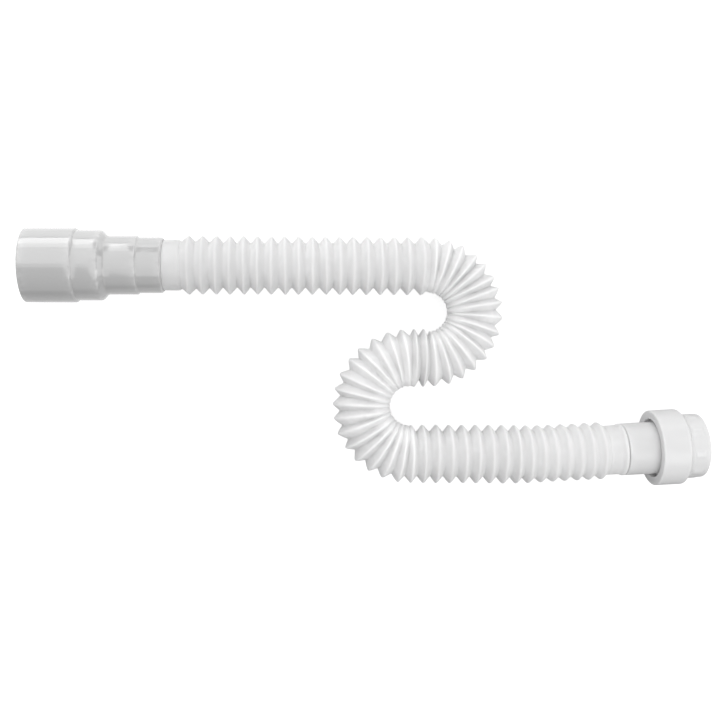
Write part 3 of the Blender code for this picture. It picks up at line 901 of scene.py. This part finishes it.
# A turned ring and skirt. Outside, a grip rib rises by a smooth bump in x times one in the angle.
# Inside, the thread stands in from the bore by a clipped triangle wave of x / pitch - angle / turn,
# which makes it a helix, and fades out at both ends.
def buildNut(material):
    ring, ringLength = nut["ring"]
    skirt, skirtLength = nut["skirt"]
    threadOuter, threadInner, pitch = nut["thread"]
    atSkirt = ringLength + nut["cone"]
    end = atSkirt + skirtLength
    fillet = nut["fillets"]
    corners = [
        (0, nut["mouth"], fillet["mouth"]),
        (0, ring, fillet["ringRear"]),
        (ringLength, ring, fillet["ringFront"]),
        (atSkirt, skirt, fillet["skirtFoot"]),
        (end, skirt, fillet["rim"]),
        (end, threadOuter + nut["leadIn"], fillet["inside"]),
        (end - nut["leadIn"], threadOuter, fillet["bore"]),
        (nut["threadStart"], threadOuter, fillet["bore"]),
        (nut["threadStart"], nut["cavity"], fillet["inside"]),
        (nut["shoulder"], nut["cavity"], fillet["inside"]),
        (nut["shoulder"], nut["mouth"], fillet["inside"]),
    ]

    def gripsAndThread(x, radius, angle):
        gripStart = atSkirt + nut["gripStart"]
        gripEnd = gripStart + nut["gripLength"]
        ramp = nut["gripRamp"]
        lengthwise = smoothStep((x - gripStart) / ramp) * smoothStep((gripEnd - x) / ramp)
        period = 2 * math.pi / nut["grips"]
        offset = (angle - nut["gripTurn"] + period / 2) % period - period / 2
        across = smoothStep(nut["gripCrown"] - np.abs(offset) * skirt / (nut["gripWidth"] / 2))
        nearSkirt, nearBore = nut["near"]
        outside = (radius > skirt - nearSkirt) & (x > atSkirt)
        turn = (x / pitch - angle / (2 * math.pi)) % 1
        ridge = np.clip(nut["ridgeTop"] - nut["ridgeFall"] * np.abs(2 * turn - 1), 0, 1)
        fade = smoothStep((x - nut["threadStart"] - nut["threadClear"]) / nut["fadeIn"])
        fade = fade * smoothStep((end - nut["leadIn"] - x) / nut["fadeOut"])
        inside = np.abs(radius - threadOuter) < nearBore
        grips = np.where(outside, nut["gripHeight"] * lengthwise * across, 0)
        return grips - np.where(inside, (threadOuter - threadInner) * ridge * fade, 0)

    columns, longest = nut["columns"], pitch / nut["rowsPerTurn"]
    piece = turnedPiece(
        "coupling_nut", corners, columns, longest, nutMouth, nutAxis, material, gripsAndThread
    )
    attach(piece, "nut")
    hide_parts("coupling_nut")


buildNut(plastic("nut plastic", nut["look"]))
print("nut ready")


# Sealing washer
washer = {
    "columns": 96,
    "start": 7.1 * mm,  # from the nut's mouth
    "thickness": 3.0 * mm,
    "bore": 13.75 * mm,
    "edge": 21.2 * mm,
    "fillet": 0.4 * mm,
    "longestRow": 1.5 * mm,
    "look": {
        "colour": (0.04, 0.04, 0.041),
        "roughness": 0.7,
        "grain": 0.5,
        "wave": 0.1,
        "mottle": 0.2,
        "polish": 0.02,
        "dust": 0.1,
    },
}


# A turned flat ring with softened edges
def buildWasher(material):
    start, end = washer["start"], washer["start"] + washer["thickness"]
    bore, edge, fillet = washer["bore"], washer["edge"], washer["fillet"]
    section = ((start, bore), (start, edge), (end, edge), (end, bore))
    corners = [(x, radius, fillet) for x, radius in section]
    columns, longest = washer["columns"], washer["longestRow"]
    piece = turnedPiece("sealing_washer", corners, columns, longest, nutMouth, nutAxis, material)
    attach(piece, "nut")
    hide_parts("sealing_washer")


buildWasher(plastic("washer rubber", washer["look"]))
print("washer ready")


# Floor, world and lamps
stage = {
    "floorSize": 6.0,
    "floorDrop": 0.2 * mm,  # how far it lies under the part
    "floorForLight": 0.60,  # what other light finds there, as a share of white
    "floorForCamera": 0.40,
    "floorGlow": 0.80,  # what the camera sees besides: white, with the shadow still showing
    "floorGloss": 1.7,  # what gloss sees in place of both towards the rear
    "glossRamp": (-0.1, 0.2),  # from the front to the rear end of the change, in y
    "glossAtFront": 0.06,  # share of that which gloss sees in front
    "fill": 0.38,
    # Softboxes: centre, size, radiance, and the point that each faces
    "lamps": {
        "left ceiling": ((-0.9, 0.625, 1.02), (1.0, 1.15), 1.30, (-0.9, 0.625, 0.0)),
        "left ceiling edge": ((-0.9, -0.05, 1.02), (1.0, 0.20), 0.65, (-0.9, -0.05, 0.0)),
        "middle rear ceiling": ((0.0, 0.45, 1.02), (0.8, 1.5), 1.05, (0.0, 0.45, 0.0)),
        "middle front ceiling": ((0.0, -0.75, 1.02), (0.8, 0.9), 0.95, (0.0, -0.75, 0.0)),
        "right ceiling": ((0.9, -0.75, 1.02), (1.0, 0.9), 1.60, (0.9, -0.75, 0.0)),
        "left window": ((-0.62, 1.3, 0.34), (0.46, 0.50), 2.8, (-0.475, 0.0, 0.05)),
        "left window top": ((-0.62, 1.3, 0.82), (0.46, 0.40), 2.0, (-0.475, 0.0, 0.05)),
        "right window": ((0.62, 1.3, 0.42), (0.46, 0.76), 1.35, (0.475, 0.0, 0.05)),
        "rear window": ((0.0, 1.3, 0.22), (0.8, 0.38), 1.3, (0.0, 0.0, 0.05)),
        "front side": ((0.3, -1.3, 0.42), (1.0, 0.76), 0.25, (0.1, 0.0, 0.05)),
        "right side": ((1.4, 0.0, 0.42), (1.2, 0.76), 1.20, (0.0, 0.0, 0.05)),
    },
}


# White to the camera with the part's shadow still on it, to gloss a glow that grows towards the
# rear, and mid grey to all other light
def buildFloor():
    half, low = stage["floorSize"] / 2, -stage["floorDrop"]
    corners = [(-half, -half, low), (half, -half, low), (half, half, low), (-half, half, low)]
    mesh = bpy.data.meshes.new("floor")
    mesh.from_pydata(corners, [], [(0, 1, 2, 3)])
    floor = bpy.data.objects.new("floor", mesh)
    bpy.context.scene.collection.objects.link(floor)
    material = bpy.data.materials.new("floor")
    material.use_nodes = True
    tree = material.node_tree
    tree.nodes.remove(tree.nodes["Principled BSDF"])
    path = addNode(tree, "ShaderNodeLightPath")
    isCamera, isGlossy = path.outputs["Is Camera Ray"], path.outputs["Is Glossy Ray"]
    level = addNode(
        tree,
        "ShaderNodeMix",
        {0: isCamera, 2: stage["floorForLight"], 3: stage["floorForCamera"]},
        data_type="FLOAT",
    )
    notGlossy = calculate(tree, "SUBTRACT", 1.0, isGlossy)
    level = calculate(tree, "MULTIPLY", level.outputs[0], notGlossy)
    paper = addNode(tree, "ShaderNodeBsdfDiffuse", {"Color": level})
    place = addNode(tree, "ShaderNodeTexCoord").outputs["Object"]
    northward = addNode(tree, "ShaderNodeSeparateXYZ", {0: place}).outputs["Y"]
    front, rear = stage["glossRamp"]
    least = stage["glossAtFront"]
    ramp = {"Value": northward, "From Min": front, "From Max": rear, "To Min": least}
    share = addNode(tree, "ShaderNodeMapRange", ramp).outputs[0]
    glossGlow = calculate(tree, "MULTIPLY", share, stage["floorGloss"])
    glossGlow = calculate(tree, "MULTIPLY", isGlossy, glossGlow)
    cameraGlow = calculate(tree, "MULTIPLY", isCamera, stage["floorGlow"])
    glow = calculate(tree, "ADD", glossGlow, cameraGlow)
    lift = addNode(tree, "ShaderNodeEmission", {"Color": (1, 1, 1, 1), "Strength": glow})
    both = addNode(tree, "ShaderNodeAddShader", {0: paper.outputs[0], 1: lift.outputs[0]})
    tree.links.new(both.outputs[0], tree.nodes["Material Output"].inputs["Surface"])
    mesh.materials.append(material)


# White behind everything to the camera, and an even fill to all other light
def buildWorld():
    world = bpy.data.worlds.new("studio")
    bpy.context.scene.world = world
    world.use_nodes = True
    tree = world.node_tree
    isCamera = addNode(tree, "ShaderNodeLightPath").outputs["Is Camera Ray"]
    strengths = {0: isCamera, 2: stage["fill"], 3: 1.0}
    level = addNode(tree, "ShaderNodeMix", strengths, data_type="FLOAT")
    tree.links.new(level.outputs[0], tree.nodes["Background"].inputs["Strength"])
    tree.nodes["Background"].inputs["Color"].default_value = (1, 1, 1, 1)


# A rectangular lamp that faces the target. Surfaces see it at this radiance, which is its energy
# over four times its area.
def softbox(name, centre, size, radiance, target):
    lamp = bpy.data.objects.new(name, bpy.data.lights.new(name, "AREA"))
    bpy.context.scene.collection.objects.link(lamp)
    lamp.data.shape = "RECTANGLE"
    lamp.data.size, lamp.data.size_y = size
    lamp.data.energy = 4 * radiance * size[0] * size[1]
    lamp.location = centre
    lamp.rotation_mode = "QUATERNION"
    lamp.rotation_quaternion = (Vector(centre) - Vector(target)).to_track_quat("Z", "Y")
    lamp.visible_camera = False


buildFloor()
buildWorld()
for name, (centre, size, radiance, target) in stage["lamps"].items():
    softbox(name, centre, size, radiance, target)
print("stage ready")

bpy.context.scene.view_settings.view_transform = "Standard"
